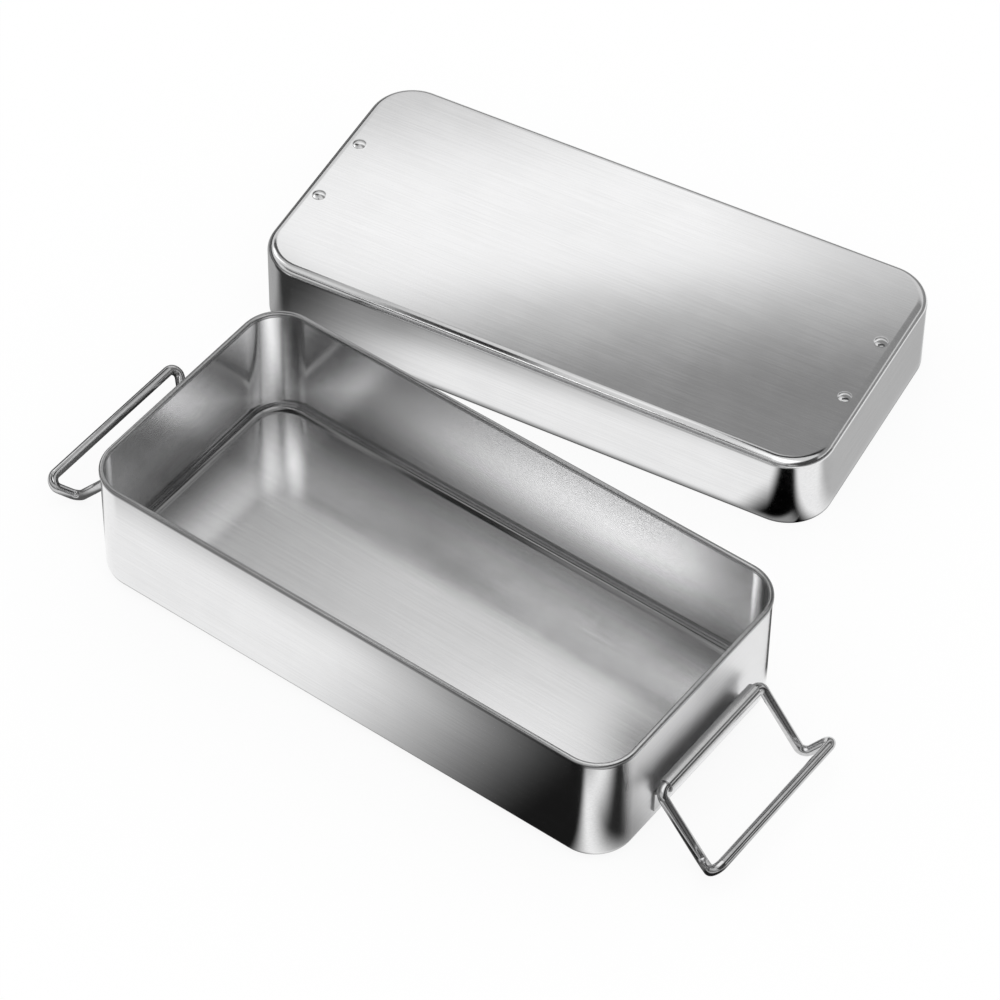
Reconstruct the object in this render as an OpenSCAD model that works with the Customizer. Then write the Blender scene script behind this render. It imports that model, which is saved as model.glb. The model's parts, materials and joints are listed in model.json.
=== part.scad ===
// Instrument box: a drawn pan with a folded rim, a drawn cover with four
// detent domes, and at each end a wire handle that turns in a welded bracket.
// The cover lies on the table behind the box. Origin: middle of the underside
// of the box. +X runs along the box, +Y towards the cover, +Z is up.

/* [Box] */
// Length of the box, over its rim
box_l = 300; // [220:1:400]
// Width of the box, over its rim
box_w = 142; // [115:1:200]
// Height of the box
box_h = 67; // [60:1:80]
// Radius of the upright corners of the box
corner_r = 20.5; // [12:0.5:30]
// Radius of the bend between floor and wall
bottom_r = 5.5; // [3:0.5:8]
// Thickness of the sheet of the box
box_t = 1; // [0.8:0.1:1.2]

/* [Rim] */
// Thickness of the folded rim
rim_t = 2.6; // [2.2:0.1:3]
// Height of the folded rim
rim_h = 3.4; // [3.2:0.1:5]
// How far the rim stands out from the wall
rim_out = 0.5; // [0.2:0.1:0.8]

/* [Cover] */
// Height of the cover
lid_h = 42.5; // [38:0.5:46]
// Thickness of the sheet of the cover
lid_t = 1; // [0.8:0.1:1.2]
// Radius of the bend between top and skirt
lid_edge_r = 5; // [3:0.5:8]
// Room between the rim and the skirt of the closed cover
lid_gap = 1.1; // [0.6:0.1:1.6]
// How far the cover is turned where it lies
lid_turn = 8.8; // [-12:0.1:12]
// How far the middle of the cover lies along the box
lid_x = -52.5; // [-70:0.5:70]
// Distance from the side of the box to the side of the cover, at their middles
lid_away = 56.5; // [50:0.5:120]

/* [Domes] */
// Width of a dome at its foot
dome_d = 6.8; // [5:0.1:8]
// Height of a dome
dome_h = 1.2; // [0.8:0.1:1.6]
// Distance between the two domes of an end
dome_pitch = 41; // [30:1:60]
// Distance from the end of the cover to the middle of a dome
dome_inset = 9.1; // [8.5:0.1:10]

/* [Handles] */
// Diameter of the wire
wire_d = 5; // [4:0.1:5.5]
// Radius of the bends, to the middle of the wire
bend_r = 4.2; // [3.5:0.1:5]
// Length of the short run between elbow and grip, seen from the side
riser_l = 16; // [14:0.5:20]
// How much wider than the arms the grip is, at each end
grip_splay = 10.5; // [4:0.5:12]
// Turn of the wire at the elbow, seen from the side
elbow_turn = 95; // [90:1:98]

/* [Brackets] */
// Length of the bracket, which is the length of its sleeve
sleeve_l = 69; // [50:1:90]
// Thickness of the strip
strip_t = 1.2; // [1:0.1:1.5]
// Height of the bracket's lower edge above the table
flange_z = 9.5; // [9:0.5:14]
// Height of the strip between its joggle and the hinge axis
leg_h = 7.2; // [6:0.1:10]

/* [Hidden] */
$fn = 96;

// Running gap between the wire and the sleeve
bore_gap = 0.08;
// Gap between the ends of the wire, inside the sleeve
butt_gap = 1;
// Gap between the end of the sleeve and the first bend of the wire
end_play = 0.5;
// Gap between the closed cover's skirt and the bracket, outwards and downwards
skirt_gap = 0.2;
skirt_drop = 0.5;
// Gap between the grip and the top of the closed cover
grip_gap = 0.3;
// Gap between the table and the meeting point of the elbow's lower faces
table_gap = 0.5;
// How far past upright the arms lean when the handle is closed
closed_lean = 1.5;
// Slope of the joggle, radius of its inner bends and steps of each bend
joggle_slope = 45;
joggle_r = strip_t;
joggle_steps = 6;
// How far the leg stands inside the outline of the sleeve, where the two merge
leg_bite = 0.02;
// Gap between the rolled end of the strip and the leg
seam_gap = 0.25;
// The wire is this much thinner in its bends, which reach into the straight
// runs by this many degrees
bend_thin = 0.02;
bend_reach = 2;
// Width of the flat land around the foot of a dome
dome_land = 1;
// Overrun of the cuts
cut = 1;

// The wall is the drawn sheet below the rim
wall_l = box_l - 2 * rim_out;
wall_w = box_w - 2 * rim_out;

// The cover takes its size from the rim that it goes over
lid_l = box_l + 2 * (lid_gap + lid_t);
lid_w = box_w + 2 * (lid_gap + lid_t);
lid_r = corner_r + rim_out + lid_gap + lid_t;
lid_y = box_w / 2 + lid_away + lid_w / 2;

// Heights of the cover when it is on the box
closed_top = box_h + lid_t;
closed_skirt = closed_top - lid_h;

// The skirt slides down between the wall and the sleeve
wire_r = wire_d / 2;
sleeve_r = wire_r + bore_gap + strip_t;
hinge_x = lid_l / 2 + skirt_gap + sleeve_r;
leg_z = closed_skirt - skirt_drop;
hinge_z = leg_z + leg_h;

// The joggle carries the strip from the wall out to the leg under the sleeve
joggle_out = hinge_x - sleeve_r + leg_bite - wall_l / 2;
joggle_run = (joggle_out - (2 * joggle_r + strip_t) * (1 - cos(joggle_slope))) / sin(joggle_slope);
joggle_h = (2 * joggle_r + strip_t) * sin(joggle_slope) + joggle_run * cos(joggle_slope);
flange_h = leg_z - joggle_h - flange_z;

// The grip of the closed handle lies on the cover, just inside the domes
riser_dip = riser_l * sin(closed_lean + elbow_turn - 90);
arm_l = (closed_top + wire_r + grip_gap + riser_dip - hinge_z) / cos(closed_lean);

// At rest the elbow lies on the table, or the arms hang plumb if it can't
elbow_lift = bend_r * (1 / cos(elbow_turn / 2) - 1);
arm_drop = hinge_z - wire_r - table_gap + elbow_lift;
rest_angle = -asin(min(1, arm_drop / arm_l));

// Points where the straight runs of the wire would meet, from the hinge axis
arm_y = sleeve_l / 2 + end_play + bend_r;
elbow = arm_l * [cos(rest_angle), sin(rest_angle)];
grip = elbow + riser_l * [cos(rest_angle + elbow_turn), sin(rest_angle + elbow_turn)];
half_path = [
    [0, butt_gap / 2, 0],
    [0, arm_y, 0],
    [elbow[0], arm_y, elbow[1]],
    [grip[0], arm_y + grip_splay, grip[1]],
];
path = [for (p = half_path) p, for (i = [len(half_path) - 1 : -1 : 0])
    [half_path[i][0], -half_path[i][1], half_path[i][2]]];

function unit(v) = v / norm(v);
function heading(p, i) = unit(p[i + 1] - p[i]);
function turn(p, i) = acos(heading(p, i - 1) * heading(p, i));
function trim(p, i) = i == 0 || i == len(p) - 1 ? 0 : bend_r * tan(turn(p, i) / 2);

// Quarter of a bent sheet: outer radius r, in the quadrant of +x and -y
module sheet_bend(r, t) {
    intersection() {
        difference() {
            circle(r);
            circle(r - t);
        }
        translate([0, -r]) square(r);
    }
}

// Carries a wall section round a rounded rectangle of l by w. In the section
// x = 0 is the outer face of the wall, and x < 0 lies inside it
module around(l, w, r) {
    for (quarter = [0 : 3]) {
        across = quarter % 2 == 0 ? l : w;
        along = quarter % 2 == 0 ? w : l;
        rotate([0, 0, 90 * quarter]) {
            translate([across / 2 - r, along / 2 - r, 0])
                rotate_extrude(angle = 90) translate([r, 0]) children();
            translate([across / 2, 0, 0]) rotate([90, 0, 0])
                linear_extrude(along - 2 * r, center = true) children();
        }
    }
}

// Section of a drawn wall with the bend at its foot
module drawn_section(h, edge_r, t) {
    translate([-t, edge_r]) square([t, h - edge_r]);
    translate([-edge_r, edge_r]) sheet_bend(edge_r, t);
}

// Flat floor of a drawn shell of l by w, up to the bend at its edge
module drawn_floor(l, w, r, edge_r, t) {
    linear_extrude(t) {
        square([l - 2 * edge_r, w - 2 * r], center = true);
        square([l - 2 * r, w - 2 * edge_r], center = true);
        for (x = [-1, 1], y = [-1, 1])
            translate([x * (l / 2 - r), y * (w / 2 - r)]) circle(r - edge_r);
    }
}

// The rim is the sheet folded over, rounded at its top and its lower edge
module rim_section() {
    translate([rim_out - rim_t / 2, 0]) {
        translate([0, box_h - rim_t / 2]) circle(rim_t / 2);
        translate([0, box_h - rim_h + rim_t / 2]) circle(rim_t / 2);
        translate([-rim_t / 2, box_h - rim_h + rim_t / 2]) square([rim_t, rim_h - rim_t]);
    }
}

module box_body() {
    color([0.78, 0.78, 0.79]) {
        around(wall_l, wall_w, corner_r) {
            union() {
                drawn_section(box_h - rim_t / 2, bottom_r, box_t);
                rim_section();
            }
        }
        drawn_floor(wall_l, wall_w, corner_r, bottom_r, box_t);
    }
}

// Ball whose cap stands dome_h out of the top and is dome_d wide at its foot
dome_r = (dome_d * dome_d / 4 + dome_h * dome_h) / (2 * dome_h);
land_r = dome_d / 2 + dome_land;

module at_domes() {
    for (x = [-1, 1], y = [-1, 1])
        translate([x * (lid_l / 2 - dome_inset), y * dome_pitch / 2, lid_h]) children();
}

// A dome is the sheet pressed up, so it is hollow underneath
module dome() {
    rotate_extrude() difference() {
        union() {
            translate([0, -lid_t]) square([land_r, lid_t]);
            intersection() {
                translate([0, dome_h - dome_r]) circle(dome_r);
                translate([0, -lid_t / 2]) square([dome_d, dome_h + lid_t]);
            }
        }
        translate([0, dome_h - dome_r]) circle(dome_r - lid_t);
    }
}

module lid() {
    color([0.82, 0.82, 0.83]) translate([lid_x, lid_y, 0]) rotate([0, 0, lid_turn]) {
        difference() {
            translate([0, 0, lid_h]) mirror([0, 0, 1]) {
                around(lid_l, lid_w, lid_r)
                    drawn_section(lid_h, lid_edge_r, lid_t);
                drawn_floor(lid_l, lid_w, lid_r, lid_edge_r, lid_t);
            }
            at_domes() translate([0, 0, -lid_t - cut]) cylinder(h = lid_t + 2 * cut, r = land_r);
        }
        at_domes() dome();
    }
}

function arc(middle, r, a, b) = [for (i = [0 : joggle_steps])
    let (way = a + (b - a) * i / joggle_steps) middle + r * [cos(way), sin(way)]];

// Section of the strip: x = 0 is the wall, y is the height above the table.
// It runs up the wall, out through the joggle and up to the sleeve
module strip_section() {
    low = [joggle_r + strip_t, flange_z + flange_h];
    high = [joggle_out - joggle_r, leg_z];
    polygon(concat(
        [[0, flange_z]],
        arc(low, joggle_r + strip_t, 180, 180 - joggle_slope),
        arc(high, joggle_r, -joggle_slope, 0),
        [for (x = [joggle_out, joggle_out + strip_t]) [x, hinge_z + leg_bite]],
        arc(high, joggle_r + strip_t, 0, -joggle_slope),
        arc(low, joggle_r, 180 - joggle_slope, 180),
        [[strip_t, flange_z]]
    ));
}

module bracket() {
    sleeve_h = sleeve_l + 2 * cut;
    slot_w = strip_t / 2 + leg_bite + seam_gap;
    color([0.70, 0.70, 0.71]) difference() {
        union() {
            translate([wall_l / 2, 0, 0]) rotate([90, 0, 0])
                linear_extrude(sleeve_l, center = true) strip_section();
            translate([hinge_x, 0, hinge_z]) difference() {
                rotate([90, 0, 0]) cylinder(h = sleeve_l, r = sleeve_r, center = true);
                translate([strip_t / 2 - sleeve_r, -sleeve_h / 2, -sleeve_r])
                    cube([slot_w, sleeve_h, sleeve_r]);
            }
        }
        translate([hinge_x, 0, hinge_z]) rotate([90, 0, 0])
            cylinder(h = sleeve_h, r = wire_r + bore_gap, center = true);
    }
}

// Round wire along the points p, with an arc at each inner point
module bent_wire(p) {
    for (i = [0 : len(p) - 2]) {
        way = heading(p, i);
        translate(p[i] + way * trim(p, i))
            rotate([0, acos(way[2]), atan2(way[1], way[0])])
                cylinder(h = norm(p[i + 1] - p[i]) - trim(p, i) - trim(p, i + 1), d = wire_d);
    }
    for (i = [1 : len(p) - 2]) {
        way = heading(p, i - 1);
        axis = unit(cross(way, heading(p, i)));
        inward = cross(axis, way);
        middle = p[i] - way * trim(p, i) + inward * bend_r;
        multmatrix([for (k = [0 : 2]) [-inward[k], way[k], axis[k], middle[k]]])
            rotate([0, 0, -bend_reach]) rotate_extrude(angle = turn(p, i) + 2 * bend_reach)
                translate([bend_r, 0]) circle(d = wire_d - bend_thin);
    }
}

module handle() {
    color([0.62, 0.62, 0.64]) translate([hinge_x, 0, hinge_z]) bent_wire(path);
}

module bracket_right() { bracket(); }
module bracket_left() { mirror([1, 0, 0]) bracket(); }
module handle_right() { handle(); }
module handle_left() { mirror([1, 0, 0]) handle(); }

box_body();
lid();
bracket_right();
bracket_left();
handle_right();
handle_left();
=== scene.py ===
# Instrument box: a drawn stainless pan with a rolled rim, its cover beside it, and two wire handles.
# Lengths are in metres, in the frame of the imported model.

import json
import math

import bpy
from mathutils import Matrix, Vector


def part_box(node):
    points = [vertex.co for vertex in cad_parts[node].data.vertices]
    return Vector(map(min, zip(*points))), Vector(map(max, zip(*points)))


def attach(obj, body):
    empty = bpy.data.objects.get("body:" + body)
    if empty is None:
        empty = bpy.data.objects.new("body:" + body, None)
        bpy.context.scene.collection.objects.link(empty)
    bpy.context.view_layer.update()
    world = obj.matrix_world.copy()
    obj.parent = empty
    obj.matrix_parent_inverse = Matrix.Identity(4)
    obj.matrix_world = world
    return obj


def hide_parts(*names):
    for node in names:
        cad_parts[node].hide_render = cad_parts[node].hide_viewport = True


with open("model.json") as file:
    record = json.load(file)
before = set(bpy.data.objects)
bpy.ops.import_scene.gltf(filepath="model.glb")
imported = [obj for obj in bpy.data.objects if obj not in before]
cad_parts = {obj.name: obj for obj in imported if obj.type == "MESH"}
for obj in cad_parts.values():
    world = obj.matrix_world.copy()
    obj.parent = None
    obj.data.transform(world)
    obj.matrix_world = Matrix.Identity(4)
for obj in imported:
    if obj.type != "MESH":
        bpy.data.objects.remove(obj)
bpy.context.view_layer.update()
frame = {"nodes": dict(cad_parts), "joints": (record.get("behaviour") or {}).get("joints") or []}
print("frame loaded")


# Selecting

samePlace = 1e-5  # points, lines and directions no further apart are taken as one
weldDistance = 1e-6
sharpFrom = 45  # degrees between two faces from which their edge stays sharp
faceWeight = 100  # the large faces lead, so that the flats shade flat


def near(a, b):
    return abs(a - b) < samePlace


def deselectAll():
    if bpy.context.object and bpy.context.object.mode != "OBJECT":
        bpy.ops.object.mode_set(mode="OBJECT")
    bpy.ops.object.select_all(action="DESELECT")


def makeActive(piece):
    deselectAll()
    piece.select_set(True)
    bpy.context.view_layer.objects.active = piece


def editMesh(piece, part, action="SELECT"):
    makeActive(piece)
    bpy.ops.object.mode_set(mode="EDIT")
    bpy.ops.mesh.select_mode(type=part)
    bpy.ops.mesh.select_all(action=action)


def selectEdges(piece, wanted):
    # leaves the piece in edit mode with just the edges selected that wanted(a, b) says yes to
    editMesh(piece, "EDGE", "DESELECT")
    bpy.ops.object.mode_set(mode="OBJECT")
    points = piece.data.vertices
    for edge in piece.data.edges:
        edge.select = wanted(points[edge.vertices[0]].co, points[edge.vertices[1]].co)
    bpy.ops.object.mode_set(mode="EDIT")


def selectFlats(piece, sides):
    # the same for the flat faces at the bottom (-1), at the top (1) or at both
    editMesh(piece, "FACE", "DESELECT")
    bpy.ops.object.mode_set(mode="OBJECT")
    for face in piece.data.polygons:
        face.select = any(near(face.normal.z, side) for side in sides)
    bpy.ops.object.mode_set(mode="EDIT")


def addModifier(piece, kind, **values):
    makeActive(piece)
    modifier = piece.modifiers.new(kind.title(), kind)
    for name, value in values.items():
        setattr(modifier, name, value)
    bpy.ops.object.modifier_apply(modifier=modifier.name)


def bakePlace(piece):
    makeActive(piece)
    bpy.ops.object.transform_apply(location=True, rotation=True, scale=True)


def joinPieces(main, others):
    makeActive(main)
    for other in others:
        other.select_set(True)
    bpy.ops.object.join()


def spinSelected(middle, axis, angle, steps):
    # turns by the right-hand rule about the axis, which the operator itself does the other way
    bpy.ops.mesh.spin(steps=steps, angle=-angle, center=middle, axis=axis)


def closeUp(piece):
    # the spins leave double points, and may leave the mesh inside out
    bpy.ops.mesh.select_all(action="SELECT")
    bpy.ops.mesh.remove_doubles(threshold=weldDistance)
    bpy.ops.mesh.normals_make_consistent(inside=False)
    deselectAll()


def pushSelected(way):
    bpy.ops.mesh.extrude_region_move(TRANSFORM_OT_translate={"value": way})


def smoothByWeight(piece):
    makeActive(piece)
    bpy.ops.object.shade_smooth_by_angle(angle=math.radians(sharpFrom))
    addModifier(piece, "WEIGHTED_NORMAL", weight=faceWeight, keep_sharp=True)


# Drawn shells: the pan and the cover

def roundedBlock(name, length, width, low, high, radius, steps):
    bpy.ops.mesh.primitive_cube_add(size=1, location=(0, 0, (low + high) / 2))
    piece = bpy.context.object
    piece.name = name
    piece.scale = (length, width, high - low)
    bakePlace(piece)
    selectEdges(piece, lambda a, b: not near(a.z, b.z))
    bpy.ops.mesh.bevel(offset=radius, segments=steps, affect="EDGES")
    deselectAll()
    return piece


def drawnShell(name, size, openTop):
    # sheet drawn over a rounded block, open at one side, with a bend where the flat meets the wall
    piece = roundedBlock(name, size["length"], size["width"], 0, size["height"],
                         size["cornerRadius"], size["cornerSteps"])
    openSide = 1 if openTop else -1
    selectFlats(piece, [openSide])
    bpy.ops.mesh.delete(type="FACE")
    flat = 0 if openTop else size["height"]
    selectEdges(piece, lambda a, b: near(a.z, flat) and near(b.z, flat))
    bpy.ops.mesh.bevel(offset=size["bendRadius"], segments=size["bendSteps"], affect="EDGES")
    deselectAll()
    addModifier(piece, "SOLIDIFY", thickness=size["sheet"], offset=-1, use_even_offset=True)
    return piece


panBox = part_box("box_body")
pan = {
    "length": 0.299, "width": 0.141, "height": 0.0660,
    "cornerRadius": 0.0205, "cornerSteps": 32, "bendRadius": 0.0055, "bendSteps": 12, "sheet": 0.001,
    "rimOut": 0.0005, "rimThick": 0.0026, "rimHeight": 0.0034, "rimRound": 0.499, "rimSteps": 6,
}


def makePan(size):
    shell = drawnShell("pan", size, openTop=True)
    top = panBox[1][2]
    rim = roundedBlock("rim", size["length"] + 2 * size["rimOut"], size["width"] + 2 * size["rimOut"],
                       top - size["rimHeight"], top, size["cornerRadius"] + size["rimOut"],
                       size["cornerSteps"])
    selectFlats(rim, [-1, 1])
    bpy.ops.mesh.delete(type="FACE")
    deselectAll()
    addModifier(rim, "SOLIDIFY", thickness=size["rimThick"], offset=-1, use_even_offset=True)
    selectEdges(rim, lambda a, b: near(a.z, b.z) and not crossesRim(a, b, size))
    bpy.ops.mesh.bevel(offset=size["rimThick"] * size["rimRound"], segments=size["rimSteps"],
                       affect="EDGES")
    deselectAll()
    joinPieces(shell, [rim])
    smoothByWeight(shell)
    return shell


def crossesRim(a, b, size):
    # a short edge over the rim's thickness, between its inner and outer side
    return near((a - b).length, size["rimThick"])


def isRimFace(middle, size):
    # the rim's bead stands outside or inside the sheet, or over its top edge
    half = (size["length"] / 2, size["width"] / 2)
    corner = Vector((max(abs(middle.x) - half[0] + size["cornerRadius"], 0),
                     max(abs(middle.y) - half[1] + size["cornerRadius"], 0)))
    out = corner.length - size["cornerRadius"]
    if middle.z < panBox[1][2] - size["rimHeight"] - samePlace:
        return False
    return out > samePlace or out < -size["sheet"] - samePlace or middle.z > size["height"] + samePlace


def placeOn(piece, node, body):
    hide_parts(node)
    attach(piece, body)


panShell = makePan(pan)
placeOn(panShell, "box_body", "box")
print("pan made")


cover = {
    "length": 0.3042, "width": 0.1462, "height": 0.0425,
    "cornerRadius": 0.0231, "cornerSteps": 32, "bendRadius": 0.005, "bendSteps": 12, "sheet": 0.001,
    "middle": (-0.0525, 0.2006), "turn": 8.8,
    "domeWidth": 0.0068, "domeHeight": 0.0012, "domeLand": 0.001, "domeFillet": 0.0008,
    "domePitch": 0.041, "domeInset": 0.0091, "domeSteps": 8, "domeSides": 48, "cutDepth": 0.004,
}


def domeRings(size):
    # outer side of a dome as (radius, height) rings, from its flat land up over the cap
    foot, high = size["domeWidth"] / 2, size["domeHeight"]
    ball = (foot * foot + high * high) / (2 * high)
    fillet = size["domeFillet"]
    # the fillet touches the land and the ball
    reach = math.sqrt((ball + fillet) ** 2 - (ball - high + fillet) ** 2)
    lean = math.atan2(reach, ball - high + fillet)
    rings = [(foot + size["domeLand"], 0)]
    steps = size["domeSteps"]
    for i in range(steps + 1):
        angle = lean * i / steps
        rings.append((reach - fillet * math.sin(angle), fillet * (1 - math.cos(angle))))
    for i in range(1, steps):
        angle = lean * (1 - i / steps)
        rings.append((ball * math.sin(angle), high - ball * (1 - math.cos(angle))))
    return rings, high


def makeDome(size):
    rings, high = domeRings(size)
    bpy.ops.mesh.primitive_circle_add(vertices=size["domeSides"], radius=rings[0][0],
                                      fill_type="NOTHING", location=(0, 0, size["height"]))
    dome = bpy.context.object
    bakePlace(dome)
    editMesh(dome, "EDGE")
    for (wide, low), (narrow, up) in zip(rings, rings[1:]):
        pushSelected((0, 0, up - low))
        share = narrow / wide
        bpy.ops.transform.resize(value=(share, share, 1), center_override=(0, 0, size["height"] + up))
    pushSelected((0, 0, high - rings[-1][1]))
    bpy.ops.mesh.merge(type="CENTER")
    bpy.ops.mesh.select_all(action="SELECT")
    bpy.ops.mesh.normals_make_consistent(inside=False)
    deselectAll()
    addModifier(dome, "SOLIDIFY", thickness=size["sheet"], offset=-1)
    return dome


def makeCover(size):
    shell = drawnShell("cover", size, openTop=False)
    domes = []
    for x in (-1, 1):
        for y in (-1, 1):
            place = (x * (size["length"] / 2 - size["domeInset"]), y * size["domePitch"] / 2, 0)
            bpy.ops.mesh.primitive_cylinder_add(vertices=size["domeSides"], depth=size["cutDepth"],
                                                radius=size["domeWidth"] / 2 + size["domeLand"],
                                                location=(place[0], place[1], size["height"]))
            cutter = bpy.context.object
            addModifier(shell, "BOOLEAN", operation="DIFFERENCE", object=cutter, solver="EXACT")
            bpy.data.objects.remove(cutter)
            dome = makeDome(size)
            dome.location = place
            bakePlace(dome)
            domes.append(dome)
    joinPieces(shell, domes)
    smoothByWeight(shell)
    shell.rotation_euler = (0, 0, math.radians(size["turn"]))
    shell.location = (size["middle"][0], size["middle"][1], 0)
    bakePlace(shell)
    return shell


coverShell = makeCover(cover)
placeOn(coverShell, "lid", "cover")
print("cover made")


# Wire handles

handle = {
    "wire": 0.005, "wireSides": 32, "bendRadius": 0.0042, "bendSteps": 16, "buttGap": 0.001,
    "armY": 0.0392, "armLength": 0.040425, "restAngle": -50.553,
    "riser": 0.016, "elbowTurn": 95, "gripSplay": 0.0105,
}


def handlePath(size, hinge):
    arm = math.radians(size["restAngle"])
    rise = arm + math.radians(size["elbowTurn"])
    elbow = Vector((math.cos(arm), 0, math.sin(arm))) * size["armLength"]
    grip = elbow + Vector((math.cos(rise), 0, math.sin(rise))) * size["riser"]
    half = [Vector((0, -size["buttGap"] / 2, 0)), Vector((0, -size["armY"], 0)),
            Vector((elbow.x, -size["armY"], elbow.z)),
            Vector((grip.x, -size["armY"] - size["gripSplay"], grip.z))]
    otherHalf = [Vector((p.x, -p.y, p.z)) for p in reversed(half)]
    return [Vector(hinge) + p for p in half + otherHalf]


def bendWire(name, path, size):
    # a circle is pushed along each straight run and spun round each bend
    start = (path[1] - path[0]).normalized()
    bpy.ops.mesh.primitive_circle_add(vertices=size["wireSides"], radius=size["wire"] / 2,
                                      fill_type="NGON", location=path[0],
                                      rotation=start.to_track_quat("Z", "Y").to_euler())
    wire = bpy.context.object
    wire.name = name
    bakePlace(wire)
    editMesh(wire, "FACE")
    at = path[0]
    for i in range(1, len(path)):
        way = (path[i] - path[i - 1]).normalized()
        if i == len(path) - 1:
            pushSelected(path[i] - at)
            break
        onward = (path[i + 1] - path[i]).normalized()
        turn = way.angle(onward)
        trim = size["bendRadius"] * math.tan(turn / 2)
        bendStart = path[i] - way * trim
        pushSelected(bendStart - at)
        axis = way.cross(onward).normalized()
        middle = bendStart + axis.cross(way) * size["bendRadius"]
        spinSelected(middle, axis, turn, size["bendSteps"])
        at = path[i] + onward * trim
    closeUp(wire)
    smoothByWeight(wire)
    return wire


def mirrorCopy(piece, name):
    makeActive(piece)
    bpy.ops.object.duplicate()
    twin = bpy.context.object
    twin.name = name
    twin.scale = (-1, 1, 1)
    bakePlace(twin)
    editMesh(twin, "FACE")
    bpy.ops.mesh.normals_make_consistent(inside=False)
    deselectAll()
    return twin


hinge = [j for j in frame["joints"] if j["name"] == "handle_right_swing"][0]["pos_m"]
rightHandle = bendWire("handleRight", handlePath(handle, hinge), handle)
leftHandle = mirrorCopy(rightHandle, "handleLeft")
placeOn(rightHandle, "handle_right", "handle_right")
placeOn(leftHandle, "handle_left", "handle_left")
print("handles made")


# Brackets: a strip that goes up the wall, out through a joggle and round the wire

bracket = {
    "length": 0.069, "sheet": 0.0012, "low": 0.0095, "legLow": 0.025, "sleeveRadius": 0.00378,
    "joggleRadius": 0.0012, "joggleSlope": 45, "joggleSteps": 6,
    "rollTurn": 306, "rollSteps": 48, "edge": 0.00015, "edgeSteps": 2, "edgeFrom": 60,
}


def makeBracket(size, hinge, wallX):
    slope = math.radians(size["joggleSlope"])
    inner, outer = size["joggleRadius"], size["joggleRadius"] + size["sheet"]
    out = hinge[0] - size["sleeveRadius"] - wallX
    run = (out - (inner + outer) * (1 - math.cos(slope))) / math.sin(slope)
    rise = (inner + outer) * math.sin(slope) + run * math.cos(slope)
    flange = size["legLow"] - rise - size["low"]
    axis = (0, 1, 0)
    bpy.ops.mesh.primitive_plane_add(size=1, location=(wallX, 0, size["low"] + flange / 2),
                                     rotation=(0, math.radians(90), 0))
    strip = bpy.context.object
    strip.name = "bracketRight"
    strip.scale = (flange, size["length"], 1)
    bakePlace(strip)
    top = size["low"] + flange
    selectEdges(strip, lambda a, b: near(a.z, top) and near(b.z, top))
    spinSelected((wallX + outer, 0, top), axis, slope, size["joggleSteps"])
    pushSelected((run * math.sin(slope), 0, run * math.cos(slope)))
    spinSelected((wallX + out - inner, 0, size["legLow"]), axis, -slope, size["joggleSteps"])
    pushSelected((0, 0, hinge[2] - size["legLow"]))
    spinSelected(hinge, axis, math.radians(size["rollTurn"]), size["rollSteps"])
    closeUp(strip)
    outwards = 1 if strip.data.polygons[0].normal.x > 0 else -1
    addModifier(strip, "SOLIDIFY", thickness=size["sheet"], offset=outwards, use_even_offset=True)
    addModifier(strip, "BEVEL", width=size["edge"], segments=size["edgeSteps"], limit_method="ANGLE",
                angle_limit=math.radians(size["edgeFrom"]))
    smoothByWeight(strip)
    return strip


rightBracket = makeBracket(bracket, hinge, pan["length"] / 2)
leftBracket = mirrorCopy(rightBracket, "bracketLeft")
placeOn(rightBracket, "bracket_right", "box")
placeOn(leftBracket, "bracket_left", "box")
print("brackets made")


# Node helpers

def addNode(tree, kind, **inputs):
    node = tree.nodes.new(kind)
    for name, value in inputs.items():
        place = node.inputs[int(name[1:])] if name[0] == "_" else node.inputs[name]
        if isinstance(value, bpy.types.NodeSocket):
            tree.links.new(value, place)
        else:
            place.default_value = value
    return node


def mathNode(tree, operation, *values):
    node = addNode(tree, "ShaderNodeMath", **{"_%d" % i: value for i, value in enumerate(values)})
    node.operation = operation
    return node.outputs[0]


def softStep(tree, value, start, end, low=0.0, high=1.0):
    node = addNode(tree, "ShaderNodeMapRange", **{"Value": value, "From Min": start, "From Max": end,
                                                  "To Min": low, "To Max": high})
    node.interpolation_type = "SMOOTHSTEP"
    return node.outputs[0]


def turnedPlace(tree, where, middle, turn):
    # coordinates that start at the middle, with x and y turned by so many degrees
    place = addNode(tree, "ShaderNodeMapping", Vector=where)
    place.vector_type = "TEXTURE"
    place.inputs["Location"].default_value = (*middle, 0)
    place.inputs["Rotation"].default_value = (0, 0, math.radians(turn))
    return place.outputs[0]


# Steel finishes

sheetLook = {
    "tone": 0.80, "toneSpread": 0.04, "rough": 0.13, "cloudRough": 0.03, "lineRough": 0.04,
    "lineWidth": 0.0008, "lineLength": 0.045, "lineDepth": 0.0000018,
    "cloudSize": 0.035, "waveSize": 0.09, "waveDepth": 0.0001,
}
wireLook = {
    "tone": 0.55, "toneSpread": 0.08, "rough": 0.10, "cloudRough": 0.036, "lineRough": 0.048,
    "lineWidth": 0.0006, "lineLength": 0.004, "lineDepth": 0.000002,
    "cloudSize": 0.012, "waveSize": 0.02, "waveDepth": 0.00002,
}
grain = {
    "lineDetail": 3, "cloudDetail": 4, "waveDetail": 1, "raggedness": 0.6,
    "span": (0.3, 0.7),  # the noise values between which tone and roughness change
    "facing": (0.5, 0.85),  # how far a wall faces along x before its lines turn
    "lineShare": 0.6, "blue": 1.004,
}


def noiseField(tree, where, sizes, detail):
    # cloudy values from 0 to 1 with a grain of the given sizes along x, y and z
    place = addNode(tree, "ShaderNodeMapping", Vector=where)
    place.inputs["Scale"].default_value = [1 / size for size in sizes]
    field = addNode(tree, "ShaderNodeTexNoise", Vector=place.outputs[0], Scale=1.0, Detail=detail,
                    Roughness=grain["raggedness"])
    return field.outputs["Fac"]


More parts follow.
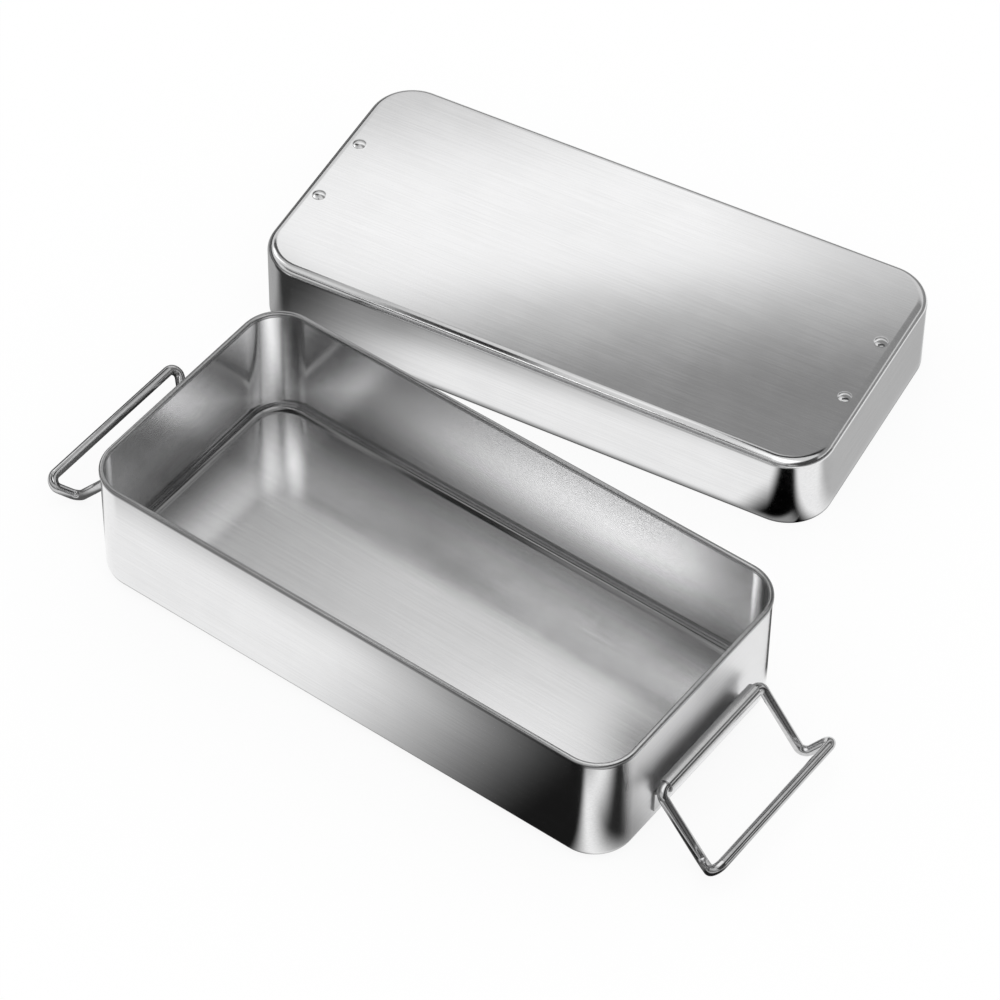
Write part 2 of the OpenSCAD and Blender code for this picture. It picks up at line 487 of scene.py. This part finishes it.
def polishLines(tree, where, look):
    # the lines run along x, and along y on the two ends, where x faces out
    width, length = look["lineWidth"], look["lineLength"]
    alongX = noiseField(tree, where, (length, width, width), grain["lineDetail"])
    alongY = noiseField(tree, where, (width, length, width), grain["lineDetail"])
    outwards = addNode(tree, "ShaderNodeNewGeometry").outputs["Normal"]
    facing = addNode(tree, "ShaderNodeSeparateXYZ", Vector=outwards).outputs[0]
    ends = softStep(tree, mathNode(tree, "ABSOLUTE", facing), *grain["facing"])
    return addNode(tree, "ShaderNodeMix", _0=ends, _2=alongX, _3=alongY).outputs[0]


# Painted shade for the pan's floor: darker towards the walls, down to 1 - depth, and none above the
# floor
def paintedFoldShade(tree, across, along, height, fold):
    sides = [mathNode(tree, "SUBTRACT", half, mathNode(tree, "ABSOLUTE", place))
             for half, place in zip(fold["halfSize"], (across, along))]
    away = mathNode(tree, "MINIMUM", *sides)
    shade = softStep(tree, away, *fold["reach"], 1 - fold["depth"], 1)
    return mathNode(tree, "MAXIMUM", shade, softStep(tree, height, *fold["top"]))


def steel(name, look, middle=(0, 0), turn=0, edgeShadeLine=None, fold=None, dullEnd=None):
    # edge line: a thin line of painted shade all round, under the rim's bead and at the cover's cut
    # bottom edge
    # fold: the pan's floor, a little dull, and darkened along the walls by painted shade
    # dullEnd: beyond this x the sheet is dull, out to the brackets
    finish = bpy.data.materials.new(name)
    finish.use_nodes = True
    tree = finish.node_tree
    shader = tree.nodes["Principled BSDF"]
    shader.inputs["Metallic"].default_value = 1
    onPiece = addNode(tree, "ShaderNodeTexCoord").outputs["Object"]
    where = turnedPlace(tree, onPiece, middle, turn)
    lines = polishLines(tree, where, look)
    clouds = noiseField(tree, where, [look["cloudSize"]] * 3, grain["cloudDetail"])
    waves = noiseField(tree, where, [look["waveSize"]] * 3, grain["waveDetail"])

    mixed = mathNode(tree, "MULTIPLY_ADD", lines, grain["lineShare"],
                     mathNode(tree, "MULTIPLY", clouds, 1 - grain["lineShare"]))
    low, high = look["tone"] - look["toneSpread"], look["tone"] + look["toneSpread"]
    tone = softStep(tree, mixed, *grain["span"], low, high)
    across, along, height = addNode(tree, "ShaderNodeSeparateXYZ", Vector=where).outputs
    # painted shade: the floor darkens towards the pan's walls
    if fold:
        tone = mathNode(tree, "MULTIPLY", tone, paintedFoldShade(tree, across, along, height, fold))
    # painted shade: a thin darker line round the piece at the given height
    if edgeShadeLine:
        away = mathNode(tree, "ABSOLUTE", mathNode(tree, "SUBTRACT", height, edgeShadeLine["height"]))
        tone = mathNode(tree, "MULTIPLY", tone,
                        softStep(tree, away, *edgeShadeLine["reach"], 1 - edgeShadeLine["depth"], 1))
    colour = addNode(tree, "ShaderNodeCombineColor", Red=tone, Green=tone,
                     Blue=mathNode(tree, "MULTIPLY", tone, grain["blue"]))
    tree.links.new(colour.outputs[0], shader.inputs["Base Color"])

    smoothest = look["rough"] - look["lineRough"] / 2
    rough = softStep(tree, clouds, *grain["span"], smoothest, smoothest + look["cloudRough"])
    rough = mathNode(tree, "MULTIPLY_ADD", lines, look["lineRough"], rough)
    if fold:
        rough = mathNode(tree, "ADD", rough, softStep(tree, height, *fold["top"], fold["dull"], 0))
    if dullEnd:
        dull = softStep(tree, mathNode(tree, "ABSOLUTE", across), *dullEnd["from"], 0, dullEnd["more"])
        rough = mathNode(tree, "ADD", rough, dull)
    tree.links.new(rough, shader.inputs["Roughness"])

    swell = addNode(tree, "ShaderNodeBump", Strength=1.0, Distance=look["waveDepth"], Height=waves)
    brushed = addNode(tree, "ShaderNodeBump", Strength=1.0, Distance=look["lineDepth"], Height=lines,
                      Normal=swell.outputs[0])
    tree.links.new(brushed.outputs[0], shader.inputs["Normal"])
    return finish


def paintPiece(piece, finish):
    piece.data.materials.clear()
    piece.data.materials.append(finish)


# the pan's floor: painted shade along its walls, and a little more roughness
floorFold = {"halfSize": (0.1485, 0.0695), "reach": (0.002, 0.034), "depth": 0.72,
             "top": (0.0015, 0.005), "dull": 0.035}
panEnds = {"from": (0.1486, 0.1494), "more": 0.25}
# painted shade: at the cover's foot where it stands on the table, and in the crevice under the rim's
# bead
coverFootShade = {"height": 0, "reach": (0.00048, 0.0012), "depth": 0.6}
rimCreviceShade = {"height": 0.0636, "reach": (0.00024, 0.0006), "depth": 0.7}
panSteel = steel("panSteel", sheetLook, fold=floorFold, dullEnd=panEnds)
coverSteel = steel("coverSteel", sheetLook, cover["middle"], cover["turn"], edgeShadeLine=coverFootShade)
bracketSteel = steel("bracketSteel", dict(sheetLook, tone=0.62, rough=0.15))
rimSteel = steel("rimSteel", dict(sheetLook, tone=0.42, rough=0.22), edgeShadeLine=rimCreviceShade)
wireSteel = steel("wireSteel", wireLook)
for piece, finish in ((panShell, panSteel), (coverShell, coverSteel), (rightBracket, bracketSteel),
                      (leftBracket, bracketSteel), (rightHandle, wireSteel), (leftHandle, wireSteel)):
    paintPiece(piece, finish)
panShell.data.materials.append(rimSteel)
for face in panShell.data.polygons:
    if isRimFace(face.center, pan):
        face.material_index = 1
nodeFinish = {"box_body": panSteel, "lid": coverSteel,
              "handle_right": wireSteel, "handle_left": wireSteel}
for name, node in frame["nodes"].items():
    paintPiece(node, nodeFinish.get(name, bracketSteel))
print("finishes made")


# Studio: pale floor, soft light, camera

white = (1, 1, 1, 1)

# What the steel sees: the table and the canopy over it carry soft patches of light and dark that only
# show in reflections. A patch has its level inside "full" and fades out to nothing at "edge": the four
# numbers are low and high along its turned x, then low and high along its turned y.
table = {
    "size": 6, "drop": 0.0002, "level": 0.25, "whiteShare": 0.9,
    "patches": {
        "around": {"middle": (0, 0), "turn": 0, "level": 1,
                   "full": (-0.26, 0.23, -0.098, 0.36), "edge": (-0.34, 0.3, -0.135, 0.46)},
        "frontRight": {"middle": (0.129, -0.05), "turn": 8, "level": 0.01,
                       "full": (-0.028, -0.005, -0.1, 0), "edge": (-0.175, 0.01, -0.3, 0.1)},
        "cornerLine": {"middle": (0.174, -0.058), "turn": 10, "level": 0.02,
                       "full": (-0.012, 0.032, -0.004, 0.003), "edge": (-0.034, 0.1, -0.045, 0.052)},
        "underBox": {"middle": (0, 0), "turn": 0, "level": 0.12,
                     "full": (-0.13, 0.13, -0.0675, 0.0675), "edge": (-0.142, 0.142, -0.0715, 0.0715)},
        "underEnds": {"middle": (0, 0), "turn": 0, "level": 0.12,
                      "full": (-0.1465, 0.1465, -0.045, 0.045),
                      "edge": (-0.1505, 0.1505, -0.058, 0.058)},
        "leftEdge": {"middle": (-0.17, 0), "turn": 0, "level": 0.15,
                     "full": (-0.03, 0.014, -0.045, 0.03), "edge": (-0.05, 0.022, -0.058, 0.05)},
        "behindBox": {"middle": (-0.02, 0.085), "turn": 4, "level": 0.5,
                      "full": (-0.1, 0.12, -0.03, 0.006), "edge": (-0.14, 0.17, -0.06, 0.026)},
        "rightEdge": {"middle": (0.142, 0.09), "turn": 0, "level": 0.1,
                      "full": (-0.012, 0.008, -0.014, 0.02), "edge": (-0.022, 0.016, -0.024, 0.03)},
        "coverLeft": {"middle": (-0.11, 0.1), "turn": 20, "level": 0.04,
                      "full": (-0.3, -0.078, -0.045, 0.2), "edge": (-0.4, 0.028, -0.1, 0.3)},
        "coverEnd": {"middle": (-0.195, 0.098), "turn": 29.5, "level": 0.42,
                     "full": (-0.1, 0.04, 0.012, 0.1), "edge": (-0.13, 0.08, -0.006, 0.15)},
        "coverCorner": {"middle": (0.106, 0.135), "turn": 33, "level": 0,
                        "full": (-0.013, 0.007, -0.03, 0.03), "edge": (-0.03, 0.018, -0.045, 0.045)},
        "coverRight": {"middle": (0.11, 0.24), "turn": 8.8, "level": 0.5,
                       "full": (-0.012, 0.03, -0.055, 0.08), "edge": (-0.02, 0.08, -0.075, 0.12)},
        "coverFoot": {"middle": (-0.0413, 0.1284), "turn": 8.8, "level": 0.3,
                      "full": (-0.14, 0.14, -0.0005, 0.003), "edge": (-0.15, 0.15, -0.004, 0.004)},
    },
}
canopy = {
    "size": 1.8, "height": 0.25, "level": 0.72,
    "patches": {
        "coverGlow": {"middle": (-0.25, 0.365), "turn": 42, "level": 1.1,
                      "full": (-0.1, 0.12, -0.05, 0.02), "edge": (-0.2, 0.25, -0.08, 0.1)},
        "coverShade": {"middle": (-0.135, 0.345), "turn": 42, "level": 0.26,
                       "full": (-0.5, 0.5, -0.4, -0.05), "edge": (-0.6, 0.6, -0.6, 0.035)},
        "pan": {"middle": (0, 0.1), "turn": 0, "level": 0.74,
                "full": (-0.6, 0.6, -0.2, 0.125), "edge": (-0.8, 0.8, -0.5, 0.16)},
        "cornerSpark": {"middle": (-0.43, 0.15), "turn": 0, "level": 1.7,
                        "full": (-0.09, 0.09, -0.07, 0.07), "edge": (-0.14, 0.14, -0.12, 0.12)},
        "panLeft": {"middle": (-0.25, 0.17), "turn": 0, "level": 0.5,
                    "full": (-0.1, 0, -0.06, 0.06), "edge": (-0.2, 0.12, -0.1, 0.09)},
        "panEdge": {"middle": (-0.27, 0.2), "turn": 0, "level": 0.05,
                    "full": (-0.2, -0.004, -0.012, 0.05), "edge": (-0.3, 0.018, -0.045, 0.07)},
        "panRight": {"middle": (-0.04, 0.15), "turn": 30, "level": 1,
                     "full": (-0.02, 0.03, -0.03, 0.004), "edge": (-0.09, 0.06, -0.06, 0.04)},
        "leftWall": {"middle": (0.026, 0.158), "turn": 35, "level": 0,
                     "full": (-0.016, 0.2, -0.03, 0.012), "edge": (-0.03, 0.3, -0.05, 0.056)},
        "cornerGlow": {"middle": (0.11, -0.01), "turn": 0, "level": 1.5,
                       "full": (-0.05, 0.1, -0.105, 0.08), "edge": (-0.1, 0.2, -0.16, 0.105)},
        "farLeft": {"middle": (-0.25, -0.13), "turn": 0, "level": 0.2,
                    "full": (-0.1, -0.02, -0.04, 0.01), "edge": (-0.2, 0.1, -0.06, 0.03)},
        "farRight": {"middle": (-0.05, -0.15), "turn": 0, "level": 2,
                     "full": (-0.045, 0.046, -0.02, 0.046), "edge": (-0.22, 0.066, -0.03, 0.056)},
        "leftFar": {"middle": (0.03, -0.1), "turn": 0, "level": 1.2,
                    "full": (-0.02, 0.03, -0.016, 0.012), "edge": (-0.06, 0.09, -0.045, 0.055)},
        "farDark": {"middle": (-0.15, -0.17), "turn": 0, "level": 0,
                    "full": (-0.2, 0.17, -0.09, 0.003), "edge": (-0.3, 0.19, -0.11, 0.012)},
        "farStrip": {"middle": (-0.13, -0.092), "turn": -2, "level": 0,
                     "full": (-0.3, 0.16, -0.005, 0.002), "edge": (-0.4, 0.18, -0.01, 0.036)},
        "rightDark": {"middle": (0.34, 0.1), "turn": 0, "level": 0.05,
                      "full": (0, 0.6, -0.5, 0.1), "edge": (-0.05, 0.7, -0.6, 0.16)},
        "farRightCorner": {"middle": (-0.105, 0), "turn": 0, "level": 0,
                           "full": (-0.06, -0.004, -0.05, 0.08), "edge": (-0.1, 0.022, -0.07, 0.1)},
        "farCorner": {"middle": (-0.004, -0.155), "turn": 0, "level": 0,
                      "full": (-0.022, 0.02, -0.03, 0.02), "edge": (-0.034, 0.032, -0.05, 0.032)},
    },
}


def softPatch(tree, where, level, patch):
    place = turnedPlace(tree, where, patch["middle"], patch["turn"])
    parts = addNode(tree, "ShaderNodeSeparateXYZ", Vector=place)
    mask = 1.0
    for i, axis in enumerate((parts.outputs[0], parts.outputs[1])):
        for j in (2 * i, 2 * i + 1):
            side = softStep(tree, axis, patch["edge"][j], patch["full"][j])
            mask = mathNode(tree, "MULTIPLY", mask, side)
    return addNode(tree, "ShaderNodeMix", _0=mask, _2=level, _3=patch["level"]).outputs[0]


def glowLevel(tree, card):
    where = addNode(tree, "ShaderNodeTexCoord").outputs["Object"]
    level = card["level"]
    for patch in card["patches"].values():
        level = softPatch(tree, where, level, patch)
    return level


def addCard(name, size, height):
    bpy.ops.mesh.primitive_plane_add(size=size, location=(0, 0, height))
    card = bpy.context.object
    card.name = name
    bakePlace(card)
    paint = bpy.data.materials.new(name + "Paint")
    paint.use_nodes = True
    paint.cycles.emission_sampling = "NONE"
    paint.node_tree.nodes.clear()
    card.data.materials.append(paint)
    return paint.node_tree


def makeTable():
    tree = addCard("table", table["size"], -table["drop"])
    ray = addNode(tree, "ShaderNodeLightPath")
    paper = addNode(tree, "ShaderNodeBsdfDiffuse", Color=white)
    bright = addNode(tree, "ShaderNodeEmission", Strength=1.0)
    seen = addNode(tree, "ShaderNodeMixShader", Fac=table["whiteShare"], _1=paper.outputs[0],
                   _2=bright.outputs[0])
    plain = addNode(tree, "ShaderNodeMixShader", Fac=ray.outputs["Is Camera Ray"],
                    _1=paper.outputs[0], _2=seen.outputs[0])
    glow = addNode(tree, "ShaderNodeEmission", Strength=glowLevel(tree, table))
    surface = addNode(tree, "ShaderNodeMixShader", Fac=ray.outputs["Is Glossy Ray"],
                      _1=plain.outputs[0], _2=glow.outputs[0])
    addNode(tree, "ShaderNodeOutputMaterial", Surface=surface.outputs[0])


def makeCanopy():
    tree = addCard("canopy", canopy["size"], canopy["height"])
    ray = addNode(tree, "ShaderNodeLightPath")
    clear = addNode(tree, "ShaderNodeBsdfTransparent")
    glow = addNode(tree, "ShaderNodeEmission", Strength=glowLevel(tree, canopy))
    surface = addNode(tree, "ShaderNodeMixShader", Fac=ray.outputs["Is Glossy Ray"],
                      _1=clear.outputs[0], _2=glow.outputs[0])
    addNode(tree, "ShaderNodeOutputMaterial", Surface=surface.outputs[0])


horizon = {"level": 0.28, "ends": 0.05, "endsFrom": (0.7, 0.8), "sky": 0.58, "skyFrom": (0.2, 0.4)}
bounces = 24  # between the walls of the pan


def makeWorld():
    # dark low down at the two ends and pale above, but only in the steel: all else sees plain white
    world = bpy.data.worlds.new("studioWorld")
    bpy.context.scene.world = world
    world.use_nodes = True
    tree = world.node_tree
    tree.nodes.clear()
    way = addNode(tree, "ShaderNodeTexCoord").outputs["Generated"]
    endways, _, up = addNode(tree, "ShaderNodeSeparateXYZ", Vector=way).outputs
    low = softStep(tree, mathNode(tree, "ABSOLUTE", endways), *horizon["endsFrom"],
                   horizon["level"], horizon["ends"])
    level = softStep(tree, up, *horizon["skyFrom"], low, horizon["sky"])
    ray = addNode(tree, "ShaderNodeLightPath")
    seen = addNode(tree, "ShaderNodeMix", _0=ray.outputs["Is Glossy Ray"], _2=1.0, _3=level)
    back = addNode(tree, "ShaderNodeBackground", Color=white, Strength=seen.outputs[0])
    addNode(tree, "ShaderNodeOutputWorld", Surface=back.outputs[0])


camera = {
    "place": (0.87606, -1.15588, 1.69968), "down": 48.038, "turn": 35.960, "roll": 0.968,
    "lens": 172.57, "sensor": 36, "farthest": 20,
}


def makeCamera(view):
    bpy.ops.object.camera_add(location=view["place"])
    eye = bpy.context.object
    eye.name = "camera"
    eye.data.lens = view["lens"]
    eye.data.sensor_width = view["sensor"]
    eye.data.clip_end = view["farthest"]
    turn = Matrix.Rotation(math.radians(view["turn"]), 4, "Z")
    tilt = Matrix.Rotation(math.radians(90 - view["down"]), 4, "X")
    roll = Matrix.Rotation(math.radians(view["roll"]), 4, "Z")
    eye.rotation_euler = (turn @ tilt @ roll).to_euler()
    bpy.context.scene.camera = eye


makeTable()
makeCanopy()
makeWorld()
makeCamera(camera)
bpy.context.scene.view_settings.view_transform = "Standard"
bpy.context.scene.cycles.glossy_bounces = bounces
bpy.context.scene.cycles.max_bounces = bounces
print("studio made")
